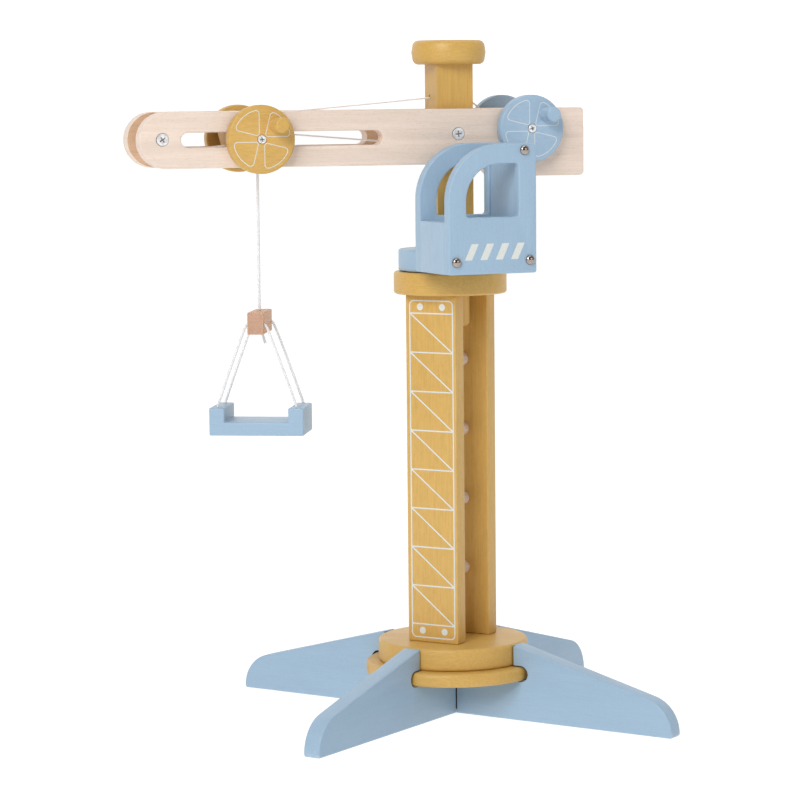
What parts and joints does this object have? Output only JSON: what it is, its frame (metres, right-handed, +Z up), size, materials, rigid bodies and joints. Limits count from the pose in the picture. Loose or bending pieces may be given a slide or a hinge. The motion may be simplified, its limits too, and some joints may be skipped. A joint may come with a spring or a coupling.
{
  "type": "toy tower crane",
  "caption": "Wooden toy tower crane: cross-legged base, two-panel mast, turning jib with a winched trolley, open cab and a hoisted tray on cords.",
  "frame": {"origin": "on the floor at the mast's centre line", "axes": "+Z up; the mast's printed panel faces -Y, +X to its right; at rest the jib's tip points to 228.2 degrees from +X"},
  "size_m": [0.3648, 0.3723, 0.485],
  "materials": {
    "mustard_paint": "satin painted beech, fine grain showing",
    "blue_paint": "satin painted beech, fine grain showing",
    "natural_wood": "clear matt varnished maple",
    "inner_wood": "plain sanded beech",
    "bar_wood": "plain sanded beech, warm",
    "zinc_screw": "zinc plated, satin",
    "dark_nail": "dark polished",
    "cord": "braided cotton, matt"
  },
  "bodies": {
    "base": {"leg_right": "blue_paint", "leg_back": "blue_paint", "leg_left": "blue_paint", "leg_front": "blue_paint", "base_disc_lower": "mustard_paint", "base_disc_upper": "mustard_paint", "mast_panel_front": "mustard_paint", "mast_panel_back": "mustard_paint", "rung_1": "natural_wood", "rung_2": "natural_wood", "rung_3": "natural_wood", "rung_4": "natural_wood", "head_disc": "mustard_paint"},
    "jib": {"turntable": "blue_paint", "post": "mustard_paint", "knob": "mustard_paint", "rail_near": "natural_wood", "rail_far": "natural_wood", "rail_screws": "zinc_screw", "tip_spacer": "inner_wood", "cab_panel_near": "blue_paint", "cab_panel_far": "blue_paint", "cab_front_board": "blue_paint", "cab_back_board": "blue_paint", "cab_nails": "dark_nail", "pull_cord_round_tip": "cord", "pull_cord_to_winch": "cord"},
    "trolley_winch": {"winch_axle": "inner_wood", "winch_wheel_near": "blue_paint", "winch_wheel_far": "blue_paint", "winch_peg": "blue_paint", "winch_screws": "zinc_screw", "winch_cord_turns": "cord"},
    "trolley": {"trolley_block": "inner_wood", "pull_cord_front": "cord", "pull_cord_back": "cord"},
    "hoist_winch": {"hoist_axle": "inner_wood", "hoist_wheel_near": "mustard_paint", "hoist_wheel_far": "mustard_paint", "hoist_peg": "mustard_paint", "hoist_screws": "zinc_screw", "hoist_cord_turns": "cord"},
    "hoist_line": {"hoist_cord": "cord"},
    "hook": {"hoist_knot": "cord"},
    "load": {"spreader_bar": "bar_wood", "sling_near": "cord", "sling_far": "cord", "tray": "blue_paint"}
  },
  "joints": [
    {"name": "slew", "type": "hinge", "parent": "base", "child": "jib", "pos_m": [0, 0, 0.321], "axis": [0, 0, 1], "continuous": true},
    {"name": "trolley_travel", "type": "slide", "parent": "jib", "child": "trolley", "axis": [0.6665, 0.7455, 0], "range_m": [-0.038, 0.058], "deforming": ["pull_cord_front", "pull_cord_back"]},
    {"name": "trolley_winch_turn", "type": "hinge", "parent": "jib", "child": "trolley_winch", "pos_m": [0.03353, 0.0375, 0.4222], "axis": [-0.7455, 0.6665, 0], "range_deg": [-405, 617]},
    {"name": "hoist_winch_turn", "type": "hinge", "parent": "trolley", "child": "hoist_winch", "pos_m": [-0.09845, -0.11011, 0.4172], "axis": [-0.7455, 0.6665, 0], "range_deg": [-841, 1483]},
    {"name": "load_swing", "type": "hinge", "parent": "trolley", "child": "hoist_line", "pos_m": [-0.09455, -0.10575, 0.4172], "axis": [0.6665, 0.7455, 0], "range_deg": [-10, 10]},
    {"name": "hoist_lift", "type": "slide", "parent": "hoist_line", "child": "hook", "axis": [0, 0, 1], "range_m": [-0.15, 0.085], "deforming": ["hoist_cord"]},
    {"name": "load_swivel", "type": "hinge", "parent": "hook", "child": "load", "pos_m": [-0.09455, -0.10575, 0.288], "axis": [0, 0, 1], "continuous": true}
  ],
  "couplings": [
    {"joint": "trolley_winch_turn", "follows": "trolley_travel", "rad_per_m": 185.19},
    {"joint": "hoist_winch_turn", "follows": "hoist_lift", "rad_per_m": -172.41}
  ]
}
